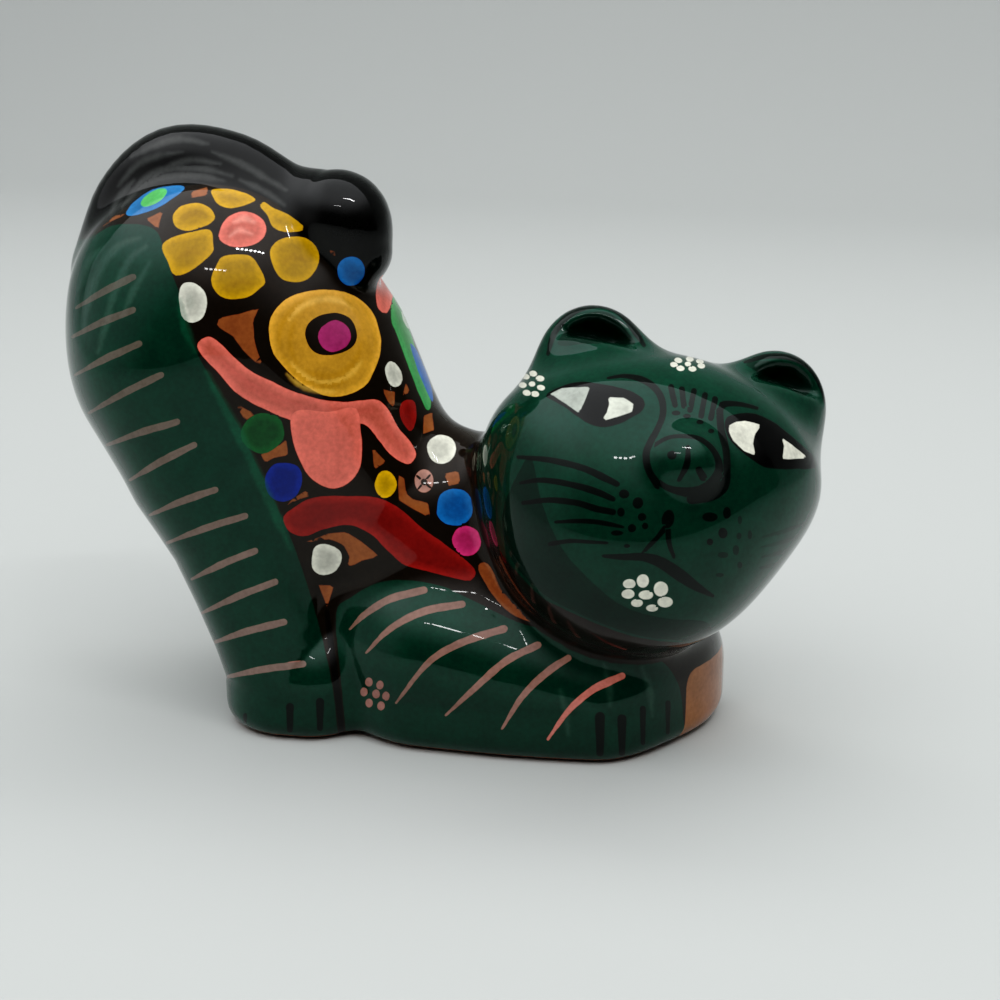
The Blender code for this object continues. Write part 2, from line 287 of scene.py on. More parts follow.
def skin(field, low, high, step):
    """Surface nets of the field's values, averaged 1-2-1 so that thin places don't pinch the skin."""
    counts = np.ceil((np.asarray(high) - np.asarray(low)) / step).astype(int) + 1
    ticks = [low[k] + step * np.arange(counts[k]) for k in range(3)]
    grid = np.stack(np.meshgrid(*ticks, indexing="ij"), axis=-1)
    value = np.concatenate([field(slab) for slab in grid[:, None]])
    for axis in range(3):
        middle = value.take(range(1, value.shape[axis] - 1), axis)
        before = value.take(range(value.shape[axis] - 2), axis)
        value = (before + 2.0 * middle + value.take(range(2, value.shape[axis]), axis)) / 4.0
    grid = grid[1:-1, 1:-1, 1:-1]
    cells = tuple(n - 1 for n in value.shape)
    total, crossed = np.zeros(cells + (3,)), np.zeros(cells)
    for axis in range(3):
        across = [k for k in range(3) if k != axis]
        near = value.take(range(value.shape[axis] - 1), axis)
        far = value.take(range(1, value.shape[axis]), axis)
        cut = (near < 0.0) != (far < 0.0)
        place = grid.take(range(grid.shape[axis] - 1), axis)
        place[..., axis] += step * np.where(cut, near / np.where(cut, near - far, 1.0), 0.0)
        place *= cut[..., None]
        for i, j in ((0, 0), (0, 1), (1, 0), (1, 1)):
            window = [slice(None)] * 3
            window[across[0]] = slice(i, i + cells[across[0]])
            window[across[1]] = slice(j, j + cells[across[1]])
            total += place[tuple(window)]
            crossed += cut[tuple(window)]
    used = crossed > 0
    index = np.full(cells, -1)
    index[used] = np.arange(used.sum())
    quads = []
    for axis in range(3):
        first, second = (axis + 1) % 3, (axis + 2) % 3
        near = value.take(range(value.shape[axis] - 1), axis) < 0.0
        far = value.take(range(1, value.shape[axis]), axis) < 0.0
        for starts, turn in ((near & ~far, 1), (far & ~near, -1)):
            at = np.argwhere(starts)
            corners = []
            for a, b in ((0, 0), (-1, 0), (-1, -1), (0, -1)):
                cell = at.copy()
                cell[:, first] += a
                cell[:, second] += b
                corners.append(index[tuple(cell.T)])
            quads.append(np.stack(corners, axis=1)[:, ::turn])
    return total[used] / crossed[used][:, None], np.vstack(quads)


def split(vertices, quads):
    """Each quad becomes four, with a new vertex in the middle of every edge and every quad."""
    edges = np.stack((quads, np.roll(quads, -1, axis=1)), axis=-1).reshape(-1, 2)
    edges, order = np.unique(np.sort(edges, axis=1), axis=0, return_inverse=True)
    count = len(vertices)
    middles = count + order.reshape(-1, 4)
    centres = count + len(edges) + np.arange(len(quads))
    fine = np.stack([np.stack((quads[:, k], middles[:, k], centres, middles[:, k - 1]), axis=1)
                     for k in range(4)], axis=1).reshape(-1, 4)
    vertices = np.vstack((vertices, vertices[edges].mean(axis=1), vertices[quads].mean(axis=1)))
    return vertices, fine


def settle(field, vertices, passes, reach=1e-5):
    """Steps that put every vertex on the zero surface: move against the slope by the value over the slope."""
    for _ in range(passes):
        value = field(vertices)
        slope = np.stack([(field(vertices + reach * unit) - value) / reach for unit in np.eye(3)], axis=1)
        vertices = vertices - slope * (value / np.maximum((slope**2).sum(1), 0.05))[:, None]
    return vertices


vertices, quads = skin(cat_field, SKIN_LOW, SKIN_HIGH, SKIN_STEP)
vertices = settle(cat_field, vertices, 2)
vertices, quads = split(vertices, quads)
vertices = settle(cat_field, vertices, 2)
print(f"skin: {len(vertices)} vertices, {2 * len(quads)} triangles")

# %% [markdown]
# ## Which way each patch of skin faces
# The show side is painted in full. The far side is plainer and mirrors its larger marks. So each face
# of the mesh is read either where it shows in the photo or where its mirror twin would show. Marks draw in
# where the skin turns away, so that those of the two sides never meet.

# %% Sides, forms and photo places
MIRROR = np.array((1.0, -1.0, 1.0))
TWIN_SHIFT = np.array((0.0, -2.0 * BOX_MIDDLE[1], 0.0))
SILHOUETTE = -0.15
HIDDEN_START = 0.02
HIDDEN_FADE = 400.0
CREST_START = -0.30
CREST_FADE = 150.0
LEG_TOP = 0.040
BODY_MARKS_REACH = 0.5

face_middle = vertices[quads].mean(axis=1)
face_normal = np.cross(vertices[quads[:, 2]] - vertices[quads[:, 0]],
                       vertices[quads[:, 3]] - vertices[quads[:, 1]])
face_normal /= np.linalg.norm(face_normal, axis=1)[:, None]
vertex_normal = np.zeros_like(vertices)
for corner in range(4):
    np.add.at(vertex_normal, quads[:, corner], face_normal)
vertex_normal /= np.linalg.norm(vertex_normal, axis=1)[:, None]


def facing(middles, normals):
    """Cosine of the angle between each normal and the way to the photo's camera."""
    view = camera_place - middles
    return (normals * view).sum(1) / np.linalg.norm(view, axis=1)


def past(value, start, strength):
    """How far in mm a mark draws in: the strength times the square of how far a value is past its start."""
    return strength * np.maximum(value - start, 0.0) ** 2


def seam_distance(form, others):
    """Signed distance in mm to the seam between forms: half the difference of their own distances."""
    return 0.5 * MM_PER_METRE * (form - others)


show_facing = facing(face_middle, face_normal)
far_facing = facing(face_middle * MIRROR + TWIN_SHIFT, face_normal * MIRROR)
show_turn = facing(vertices, vertex_normal)
far_turn = facing(vertices * MIRROR + TWIN_SHIFT, vertex_normal * MIRROR)
rump_near, base_near, tail_near, head_near = cat_forms(vertices)
body_near = np.minimum(rump_near, base_near)
head_edge = seam_distance(head_near, np.minimum(body_near, tail_near))
tail_edge = seam_distance(tail_near, np.minimum(body_near, head_near))
on_head = head_edge[quads].mean(axis=1) < 0.0
by_body = head_edge[quads].mean(axis=1) > -BODY_MARKS_REACH
on_show = (show_facing > SILHOUETTE) | (face_normal[:, 1] < 0.0) | on_head
face_facing = np.where(on_show, show_facing, far_facing)
show_place = photo_pixels(vertices)[quads]
far_place = photo_pixels(vertices * MIRROR + TWIN_SHIFT)[quads]
place = np.where(on_show[:, None, None], show_place, far_place)
show_fade = past(-show_turn, HIDDEN_START, HIDDEN_FADE)
far_fade = past(-far_turn, HIDDEN_START, HIDDEN_FADE) + past(show_turn, CREST_START, CREST_FADE)
fade = np.where(on_show[:, None], show_fade[quads], far_fade[quads])
inner = ((face_middle[:, 1] + BOX_MIDDLE[1]) * face_normal[:, 1] < 0.0) & (face_middle[:, 2] < LEG_TOP)
# Marks may lie on the face, on both flanks, on the show side only, or anywhere but the head.
WHERE = {
    "face": on_head & (show_facing > SILHOUETTE),
    "body": by_body & ~inner & (face_facing > SILHOUETTE),
    "show": by_body & ~inner & on_show & (show_facing > SILHOUETTE),
    "coat": ~on_head,
}
print("faces on the head:", int(on_head.sum()), "on the show side:", int(on_show.sum()))

# %% [markdown]
# ## Brush marks
# A mark is a dot, a stroke or a filled patch, measured in photo pixels. For every face of the mesh only the
# nearest mark of a layer counts, and its own smooth coordinates are kept at the face's corners: how far
# across it, how far beyond its end, and its half width. The edge stays crisp far below the size of a face.
# An image could carry the paint too, but its pixels would blur up close, and a small mesh for each dot would
# stand off the skin.

# %% Dots, strokes, patches and layers
# A patch counts as a stroke this wide, so only its edge matters.
DEEP = 400.0
# Faces further than this from a mark, in pixels, aren't measured.
LAYER_REACH = 30.0


def srgb(code, alpha=1.0):
    """A hex colour as linear red, green, blue and alpha, with the sRGB curve undone."""
    channel = np.array([int(code[k:k + 2], 16) / 255.0 for k in (0, 2, 4)])
    linear = np.where(channel <= 0.04045, channel / 12.92, ((channel + 0.055) / 1.055) ** 2.4)
    return (*linear, alpha)


def dot(x, y, wide, high=None, lean=0.0):
    """An ellipse with those half sizes, leaning clockwise: its offsets are scaled to one mean radius."""
    high = wide if high is None else high
    lean = np.radians(lean)
    radius = np.sqrt(wide * high)

    def mark(pixels):
        u, v = pixels[..., 0] - x, pixels[..., 1] - y
        across = (u * np.cos(lean) + v * np.sin(lean)) * radius / wide
        beyond = (v * np.cos(lean) - u * np.sin(lean)) * radius / high
        return np.stack((across, beyond, np.full_like(across, radius)), axis=-1)

    return mark, np.array(((x, y),)), max(wide, high)


def nearest(pixels, path):
    """Offset across and beyond the nearest stretch of a path, and the half width there."""
    best = np.full(pixels.shape[:-1], np.inf)
    found = np.zeros(pixels.shape[:-1] + (3,))
    for start, end in zip(path, path[1:]):
        along = end[:2] - start[:2]
        length = max(np.linalg.norm(along), 1e-9)
        along = along / length
        offset = pixels - start[:2]
        near = np.clip(offset @ along / length, 0.0, 1.0)
        offset = offset - near[..., None] * along * length
        gap = (offset**2).sum(-1)
        closer = gap < best
        best = np.where(closer, gap, best)
        width = start[2] + (end[2] - start[2]) * near
        across = offset[..., 0] * along[1] - offset[..., 1] * along[0]
        beyond = offset @ along
        found = np.where(closer[..., None], np.stack((across, beyond, width), axis=-1), found)
    return found


def stroke(*points, width=2.4, tip=None):
    """A brush stroke through the points. Width is its half width, and tip that of its ends."""
    tip = width if tip is None else tip
    points = [(*p, width) if len(p) == 2 else p for p in points]
    if tip != width:
        points = [(*points[0][:2], tip), *points[1:-1], (*points[-1][:2], tip)]
        if len(points) == 2:
            middle = (np.array(points[0]) + points[1]) / 2
            points.insert(1, (*middle[:2], width))
    path = smooth_path(points, 4)
    return (lambda pixels: nearest(pixels, path)), path[:, :2], width


def patch(*points, smooth=True):
    """A filled outline: its signed distance, by the nearest edge and the even-odd rule."""
    points = np.asarray(points, float)
    if smooth:
        # Two points before and three after let the curve close smoothly over its start.
        count = len(points)
        points = smooth_path(np.vstack((points[-2:], points, points[:3])), 4)[8:8 + 4 * count + 1]
    else:
        points = np.vstack((points, points[:1]))
    path = np.column_stack((points, np.zeros(len(points))))

    def mark(pixels):
        found = nearest(pixels, path)
        gap = np.hypot(found[..., 0], found[..., 1])
        x, y = pixels[..., 0], pixels[..., 1]
        inside = np.zeros(x.shape, bool)
        for (xa, ya), (xb, yb) in zip(points, points[1:]):
            if ya != yb:
                inside ^= ((ya > y) != (yb > y)) & (x < xa + (y - ya) * (xb - xa) / (yb - ya))
        edge = np.where(inside, -gap, gap) + DEEP
        return np.stack((edge, np.zeros_like(edge), np.full_like(edge, DEEP)), axis=-1)

    return mark, points, 0.0


class Layer:
    """One layer of paint: for each face, the nearest mark in its own coordinates (mm) and its colour."""

    def __init__(self, name):
        self.name = name
        self.gap = np.full(len(quads), np.inf)
        self.mark = np.zeros((len(quads), 4, 3))
        self.mark[..., 0] = DEEP
        self.colour = np.zeros((len(quads), 4, 4))

    def keep(self, faces, found, colour):
        """On these faces the new mark stays where it is nearer than the one kept so far."""
        gap = np.hypot(found[..., 0], found[..., 1]).mean(axis=1) - found[..., 2].mean(axis=1)
        closer = gap < self.gap[faces]
        faces, found = faces[closer], found[closer]
        self.gap[faces] = gap[closer]
        self.mark[faces] = found
        self.colour[faces] = colour

    def lay(self, where, code, *marks, alpha=1.0):
        """Lays marks of one colour on the faces that read them; the fade draws in all but the coats."""
        for mark, points, width in marks:
            low = points.min(axis=0) - width - LAYER_REACH
            high = points.max(axis=0) + width + LAYER_REACH
            middle = place.mean(axis=1)
            faces = np.flatnonzero(WHERE[where] & (middle > low).all(axis=1) & (middle < high).all(axis=1))
            found = mark(place[faces]) * MM_PER_PIXEL
            if where != "coat":
                found[..., 2] -= fade[faces]
            self.keep(faces, found, srgb(code, alpha))

    def fill(self, where, code, *outlines, alpha=1.0, smooth=True):
        """Filled patches, one for each outline."""
        self.lay(where, code, *(patch(*outline, smooth=smooth) for outline in outlines), alpha=alpha)

    def dab(self, where, code, *places, alpha=1.0):
        """Dots, each given by its place and its half sizes."""
        self.lay(where, code, *(dot(*each) for each in places), alpha=alpha)

    def draw(self, where, code, *paths, alpha=1.0, **brush):
        """Strokes, one for each path, with the brush's width and tip."""
        self.lay(where, code, *(stroke(*path, **brush) for path in paths), alpha=alpha)

    def flood(self, edge, code):
        """Paints where a smooth value per vertex (mm) is negative."""
        value = edge[quads] + DEEP
        found = np.stack((value, np.zeros_like(value), np.full_like(value, DEEP)), axis=-1)
        self.keep(np.arange(len(quads)), found, srgb(code))


GREEN = "083427"
BLACK = "1c140c"
SOOT = "221915"
INK = "070706"
TERRACOTTA = "864d2c"
OCHRE = "be8f0a"
RING_YELLOW = "dca03c"
CORAL = "df6d5e"
RED = "86201b"
AZURE = "1c66ac"
COBALT = "102a80"
WHITE = "d8d8c8"
MAUVE = "8a6f66"
plain_stroke = stroke((0.0, 0.0), (10.0, 0.0))[0](np.array(((5.0, 0.0),)))
print("half width of a plain stroke, pixels:", round(float(plain_stroke[0, 2]), 2))

# %% [markdown]
# ## Coats: green legs and head, black tail
# The painter first fills the large areas with a wide flat brush: dark green on the legs and the head, black
# on the tail and the rump under it. What the coats leave on the flank is the black-brown ground.

# %% Coats
TAIL_COAT = ((20, 242), (60, 240), (86, 236), (112, 216), (140, 201), (190, 185), (240, 188), (276, 203),
    (300, 217), (328, 245), (352, 262), (385, 268), (410, 240), (470, 150), (470, 20), (200, -20), (20, 20))
HIND_LEG_COAT = ((20, 244), (60, 242), (88, 238), (114, 225), (143, 225), (157, 232), (163, 247),
    (172, 274), (180, 295), (184, 320), (198, 355), (219, 393), (239, 427), (257, 465), (277, 507),
    (293, 543), (313, 604), (325, 650), (333, 690), (338, 735), (345, 800), (200, 820), (20, 600))
FORELEG_COAT = ((336, 614), (350, 598), (377, 583), (405, 580), (441, 586), (476, 602), (517, 622),
    (543, 629), (569, 641), (612, 648), (650, 656), (668, 667), (680, 690), (684, 725), (690, 800),
    (350, 800), (346, 735), (341, 680))
coats = Layer("coats")
coats.flood(head_edge, GREEN)
coats.flood(tail_edge, INK)
coats.fill("coat", INK, TAIL_COAT)
coats.fill("coat", GREEN, HIND_LEG_COAT, FORELEG_COAT)
print("coats laid on", int((coats.gap < 0).sum()), "faces")

# %% [markdown]
# ## Bare clay and black ground
# The red clay shows where no paint went: in the gaps that the black outlines leave between the flank's
# motifs, on the chest and under the feet. Black runs again along the seam under the chin.

# %% Bare clay
CHEST_CLAY = "96603e"
FOOT_CLAY_HEIGHT = 0.0009
CHEST_TOP = 0.0121
CHEST_MIDDLE = 0.0034
CHEST_HALF_WIDTH = 0.0090
CHEST_CORNER = 0.0030
CHEST_BACK = 0.0300
NECK_STRIP = ((478, 568), (488, 564), (506, 592), (536, 618), (552, 630), (530, 622), (510, 613),
    (492, 594))
CHIN_SHADE = ((480, 532), (512, 567), (540, 596), (560, 607), (600, 625), (640, 638), (690, 643),
    (735, 640), (760, 660), (700, 690), (560, 680), (470, 600))
CLAY_GAPS = {
    "beside the lens": ((192, 191), (208, 187), (207, 195), (190, 198)),
    "left of the petals": ((146, 219), (163, 211), (160, 221), (158, 229)),
    "under the lens": ((102, 227), (114, 216), (126, 214), (112, 221)),
    "over the white dot": ((192, 278), (202, 276), (200, 280)),
    "by the knob": ((329, 250), (338, 252), (333, 258)),
    "left of the ring": ((219, 318), (238, 314), (259, 308), (253, 321), (254, 338), (258, 353), (263, 366),
        (254, 361), (242, 349), (233, 336), (217, 326)),
    "over the green dot": ((236, 404), (256, 414), (245, 421)),
    "under the green dot": ((286, 440), (288, 455), (273, 458), (265, 463), (261, 454), (280, 445)),
    "right of the cobalt dot": ((305, 491), (311, 495), (297, 500), (286, 506), (290, 501)),
    "under the red": ((304, 543), (327, 534), (346, 532), (362, 542), (380, 557), (363, 560), (352, 566),
        (347, 565), (350, 557), (344, 545), (330, 539), (315, 541)),
    "under the white dot": ((319, 585), (334, 585), (327, 608)),
    "beside the small white": ((382, 389), (395, 392), (394, 407), (388, 402)),
    "over the small red": ((406, 383), (410, 392), (403, 395)),
    "under the small red": ((424, 416), (432, 412), (434, 430), (423, 434)),
    "left of the yellow": ((372, 447), (386, 462), (374, 470)),
    "right of the yellow": ((398, 475), (404, 478), (406, 494), (414, 500), (428, 503), (430, 518),
        (413, 509), (399, 500)),
    "over the azure": ((444, 474), (458, 471), (460, 483), (449, 486)),
    "left of the pink": ((453, 541), (463, 536), (464, 546)),
}
ground = Layer("ground")
ground.flood(MM_PER_METRE * (vertices[:, 2] - FOOT_CLAY_HEIGHT), TERRACOTTA)
chest_width = CHEST_HALF_WIDTH - np.abs(vertices[:, 1] - CHEST_MIDDLE)
chest = np.maximum(carve(vertices[:, 2] - CHEST_TOP, chest_width, CHEST_CORNER), CHEST_BACK - vertices[:, 0])
ground.flood(MM_PER_METRE * chest, CHEST_CLAY)
ground.fill("body", TERRACOTTA, NECK_STRIP)
ground.fill("body", TERRACOTTA, *CLAY_GAPS.values(), smooth=False)
ground.fill("face", SOOT, CHIN_SHADE)
print("bare clay on", int((ground.gap < 0).sum()), "faces")

# %% [markdown]
# ## The flank's flower, ring and dots
# Round brushes, each loaded with one colour and pressed once or turned in a circle, leave petals, rings and
# dots. Such marks are common on painted clay animals, and no two of them are quite round.

# %% Flank
PETALS = {
    "upper left": ((173, 216), (181, 206), (198, 203), (211, 209), (215, 218), (207, 225), (188, 231),
        (176, 227)),
    "top": ((212, 190), (229, 189), (245, 193), (256, 200), (245, 205), (231, 208), (219, 205), (214, 198)),
    "upper right": ((260, 206), (264, 202), (274, 208), (291, 216), (304, 227), (300, 231), (285, 232),
        (273, 227), (268, 216)),
    "left": ((162, 247), (171, 238), (191, 232), (210, 230), (213, 244), (212, 253), (195, 268), (181, 275),
        (173, 274), (168, 262)),
    "right": ((270, 254), (275, 243), (288, 237), (305, 238), (316, 247), (319, 259), (314, 272),
        (304, 281), (286, 281), (276, 272)),
    "bottom": ((211, 281), (217, 265), (224, 256), (248, 255), (258, 265), (265, 281), (260, 288),
        (248, 297), (229, 299), (218, 294)),
}
FLOWER_HEART = ((219, 234), (224, 221), (236, 213), (250, 212), (262, 219), (266, 230), (260, 241),
    (243, 247), (229, 246), (220, 240))
RING = ((269, 333), (272, 315), (285, 300), (304, 292), (333, 290), (354, 296), (371, 310), (380, 333),
    (380, 354), (373, 373), (366, 385), (347, 395), (326, 396), (309, 388), (295, 378), (283, 366),
    (273, 352))
RING_HOLE = ((305, 335), (309, 323), (321, 315), (338, 313), (351, 319), (357, 333), (354, 345), (342, 353),
    (323, 355), (311, 349))
RING_HEART = ((318, 336), (323, 326), (335, 320), (346, 325), (351, 336), (346, 347), (333, 352),
    (322, 347))
BOW = ((197, 346), (202, 339), (211, 337), (223, 346), (238, 361), (254, 373), (269, 380), (292, 391),
    (319, 399), (342, 402), (366, 400), (378, 400), (388, 409), (397, 426), (409, 440), (416, 454),
    (411, 463), (403, 463), (390, 454), (378, 439), (367, 426), (355, 424), (320, 430), (291, 420),
    (273, 413), (252, 403), (233, 390), (219, 373), (204, 358))
BOW_TAIL = ((291, 418), (300, 410), (330, 412), (356, 408), (361, 433), (362, 452), (360, 467), (352, 480),
    (338, 488), (323, 486), (309, 476), (297, 454), (292, 435))
RED_BRANCH = ((284, 516), (293, 508), (313, 498), (341, 496), (372, 497), (389, 502), (403, 511),
    (422, 528), (446, 545), (472, 566), (475, 576), (468, 581), (446, 576), (422, 570), (403, 564),
    (387, 550), (372, 535), (351, 525), (327, 528), (306, 536), (291, 533), (285, 525))
LENS = ((126, 214), (133, 203), (152, 190), (171, 186), (185, 187), (176, 196), (157, 208), (136, 215))
LEAF = ((394, 291), (400, 294), (411, 333), (428, 390), (431, 404), (426, 409), (411, 373), (397, 335),
    (391, 318))
LEAF_VEIN = ((410, 344), (419, 354), (431, 385), (432, 402), (419, 373))
WHITE_DOTS = (
    ((179, 293), (183, 284), (194, 283), (204, 291), (207, 306), (202, 318), (192, 323), (183, 318),
        (180, 306)),
    ((312, 559), (315, 547), (326, 544), (339, 550), (341, 561), (334, 572), (322, 575), (313, 569)),
    ((427, 447), (432, 438), (441, 435), (452, 439), (456, 450), (451, 460), (441, 464), (432, 460)),
    ((385, 369), (392, 361), (401, 371), (402, 382), (396, 387), (389, 383)),
)
GREEN_DOT = ((241, 433), (247, 420), (261, 413), (278, 417), (284, 430), (282, 441), (269, 452), (257, 453),
    (245, 445))
COBALT_DOT = ((265, 478), (273, 465), (285, 463), (298, 467), (302, 480), (297, 495), (283, 502),
    (269, 495))
AZURE_DOT = ((437, 509), (440, 495), (451, 489), (465, 491), (472, 502), (471, 516), (461, 525), (446, 524),
    (438, 517))
YELLOW_DOT = ((375, 483), (380, 472), (390, 472), (397, 483), (392, 495), (383, 498), (377, 492))
PINK_DOT = ((452, 541), (457, 529), (467, 526), (477, 531), (481, 541), (478, 551), (469, 556), (459, 553))
SMALL_RED = ((401, 404), (407, 400), (415, 402), (416, 419), (411, 432), (403, 423), (400, 414))
PINK_BUD = ((381, 276), (390, 278), (393, 290), (391, 304), (386, 313), (378, 308), (376, 292))

TAIL_DOT = (351, 271, 13.5, 14.5)
CROSSED_DOT = (424, 481, 9.5, 11.5)
CROSS_HEART = (424, 482, 3.4)
CROSS = (((417, 476), (431, 488)), ((430, 475), (418, 489)))
LENS_HEART = (154, 197.5, 15, 6, -31)
# A painted highlight: a pale stroke along the leaf.
LEAF_PAINTED_GLEAM = ((403, 312), (409, 327))

blobs = Layer("blobs")
streaks = Layer("streaks")
lines = Layer("lines")
tops = Layer("tops")
blobs.fill("body", OCHRE, *PETALS.values())
blobs.fill("body", WHITE, *WHITE_DOTS)
blobs.fill("body", CORAL, BOW, FLOWER_HEART)
blobs.fill("body", RING_YELLOW, RING)
blobs.fill("body", RED, RED_BRANCH, SMALL_RED)
blobs.fill("body", AZURE, AZURE_DOT)
blobs.dab("body", AZURE, TAIL_DOT)
blobs.fill("body", COBALT, COBALT_DOT)
blobs.fill("body", "124f28", GREEN_DOT)
blobs.fill("body", "dba80f", YELLOW_DOT)
blobs.fill("body", "cc3c70", PINK_DOT)
blobs.fill("show", "2a70ae", LENS)
blobs.fill("show", CORAL, PINK_BUD)
blobs.fill("show", "3f9a50", LEAF)
blobs.dab("show", "a8786a", CROSSED_DOT)
lines.fill("body", BLACK, RING_HOLE)
lines.dab("show", BLACK, CROSS_HEART)
lines.draw("show", BLACK, *CROSS, width=1.2)
tops.fill("body", CORAL, BOW_TAIL)
tops.fill("body", "97305f", RING_HEART)
tops.dab("show", "52b25c", LENS_HEART)
tops.fill("show", "1b5fae", LEAF_VEIN)
# Painted highlight on the leaf.
tops.draw("show", "b9c9b4", LEAF_PAINTED_GLEAM, width=3.0, tip=1.5)
print("dots and petals laid on", int((blobs.gap < 0).sum()), "faces")

# %% [markdown]
# ## What the bristles leave, and painted shade and highlights
# A turned brush leaves rings in the yellow, a pulled one leaves hairs in the coral, and a nearly dry one
# drags grey over the black tail. These thin marks are laid soft and half clear over the paint below them.
# Some stand for light as well: painted shade in the ring's hollows, painted highlights on its ridges and
# on the flower's heart, and a painted reflection of the varnish's shine in the grey on the tail and legs.

# %% Bristle streaks
RING_CENTRE = np.array((326.0, 341.0))
# Brush rings: darker arcs are painted shade in the hollows, lighter ones painted highlight on the ridges.
RING_SHADED_HOLLOWS = ((35, 95, 215, 2.6), (45, 150, 250, 2.2), (47, 262, 330, 2.0), (36, 232, 300, 2.0),
    (50, 40, 100, 1.8))
RING_LIT_RIDGES = ((41, 120, 240, 2.2), (42, 300, 400, 2.4), (51, 170, 230, 1.8))


def arc(radius, start, end, width):
    """A stroke along part of the ring, from one clock angle in degrees to another."""
    turns = np.radians(np.linspace(start, end, 7))
    points = RING_CENTRE + radius * np.stack((np.sin(turns), -np.cos(turns)), axis=1)
    return stroke(*points, width=width, tip=width / 3)


# Painted shade in the ring's hollows, then painted highlight on its ridges.
streaks.lay("body", "b07c1c", *(arc(*hollow) for hollow in RING_SHADED_HOLLOWS), alpha=0.55)
streaks.lay("body", "f2bf5a", *(arc(*ridge) for ridge in RING_LIT_RIDGES), alpha=0.45)
CORAL_HAIRS = (
    ((214, 352), (240, 377), (272, 395), (300, 405)),
    ((330, 408), (352, 412), (372, 411)),
    ((384, 420), (396, 440), (406, 455)),
    ((226, 366), (250, 388), (286, 406)),
)
streaks.draw("body", "c4584e", *CORAL_HAIRS, width=1.7, tip=0.6, alpha=0.5)
PETAL_HAIRS = (
    ((222, 290), (238, 282), (256, 284)),
    ((178, 258), (190, 252), (204, 254)),
    ((284, 262), (296, 256), (308, 262)),
    ((180, 219), (194, 213), (208, 215)),
)
streaks.draw("body", "8a6208", *PETAL_HAIRS, width=4.0, tip=1.0, alpha=0.4)
WHITE_DOT_SHADE = (190, 302, 4, 7)
streaks.dab("body", "8f9488", WHITE_DOT_SHADE, alpha=0.5)
# Painted highlights: pale coral strokes where the flower's heart shines.
HEART_PAINTED_GLEAMS = (
    ((234, 222, 1), (244, 218, 3), (254, 222, 1)),
    ((230, 236, 1), (240, 230, 2.5), (252, 234, 1)),
)
streaks.draw("body", "f0a08e", *HEART_PAINTED_GLEAMS, alpha=0.5)
# Dry-brush grey on the black tail, partly a painted reflection of the varnish's streaky shine.
DRY_HAIRS_AND_SHEEN = (
    ((129, 196), (148, 176), (172, 168), (206, 169), (232, 176)),
    ((131, 157), (156, 145), (180, 139), (208, 144)),
    ((122, 207), (142, 186), (166, 177), (200, 176), (224, 181)),
    ((140, 190), (160, 172), (190, 160), (220, 164)),
    ((118, 186), (136, 166), (158, 156), (182, 152)),
    ((240, 180), (262, 190), (284, 205)),
    ((212, 152), (240, 163), (262, 176), (286, 190)),
    ((110, 214), (120, 196), (134, 180)),
)
streaks.draw("coat", "6d6f6d", *DRY_HAIRS_AND_SHEEN, width=3.0, tip=1.0, alpha=0.2)
# Pale streaks on the legs: partly brush hairs, partly a painted reflection of a window in the varnish.
GREEN_HAIRS_AND_SHEEN = (
    ((92, 300), (100, 270), (118, 246), (140, 238)),
    ((84, 330), (88, 300), (100, 262)),
    ((104, 330), (112, 300), (128, 262), (146, 246)),
    ((122, 316), (134, 290), (150, 262)),
    ((98, 352), (104, 330), (112, 310)),
    ((78, 290), (88, 262), (104, 246)),
    ((560, 690), (566, 712), (568, 734)),
    ((604, 664), (610, 690), (610, 706)),
    ((642, 668), (650, 690), (652, 716)),
)
streaks.draw("coat", "5c7468", *GREEN_HAIRS_AND_SHEEN, width=3.4, tip=1.0, alpha=0.16)
EDGE_SHADES = (
    ((206, 372), (232, 420), (252, 462), (272, 506), (290, 548)),
    ((196, 352), (186, 330), (180, 300)),
)
streaks.draw("coat", "14503c", *EDGE_SHADES, width=5.0, tip=2.0, alpha=0.5)
print("streaks laid on", int((streaks.gap < 0).sum()), "faces")

# %% [markdown]
# ## Stripes and claws
# The leg stripes are single strokes of a thin, half-dry brush, pressed at one end and lifted at the other.

# %% Legs
HIND_STRIPES = ((76, 308, 133, 277), (72, 337, 133, 310), (75, 375, 139, 344), (89, 413, 161, 375),
    (107, 445, 177, 422), (130, 480, 194, 445), (150, 515, 215, 490), (167, 543, 245, 516),
    (192, 579, 255, 551), (202, 613, 275, 582), (212, 643, 284, 622), (222, 678, 303, 664))
HIND_RISE = 1.5
HIND_WIDTHS = (1.4, 3.6, 3.3)
for row, (xa, ya, xb, yb) in enumerate(HIND_STRIPES):
    columns = (xa, (xa + xb) / 2, xb)
    rows = (ya, (ya + yb) / 2 - HIND_RISE, yb)
    # The stripes grow stronger down the leg.
    tops.draw("body", MAUVE, tuple(zip(columns, rows, HIND_WIDTHS)), alpha=0.30 + 0.045 * row)
LAST_STRIPE_END = ((264, 668, 2.0), (300, 664, 3.4))
tops.draw("body", "b4786c", LAST_STRIPE_END, alpha=0.8)
FORELEG_STRIPES = (
    ((350, 629), (364, 615), (390, 599), (424, 590)),
    ((366, 653), (390, 629), (422, 612), (462, 604)),
    ((396, 703), (430, 661), (466, 641), (504, 629)),
    ((446, 715), (474, 689), (506, 661), (538, 645)),
    ((502, 729), (522, 697), (546, 673), (568, 658)),
    ((548, 739), (570, 709), (594, 689), (622, 676)),
)
FORELEG_WIDTHS = (1.3, 3.0, 3.8, 3.5)
FORELEG_COLOURS = ("9a6f64",) * 5 + ("c87468",)
for row, (path, code) in enumerate(zip(FORELEG_STRIPES, FORELEG_COLOURS)):
    path = [(*point, width) for point, width in zip(path, FORELEG_WIDTHS)]
    tops.draw("body", code, path, alpha=0.62 + 0.06 * row)
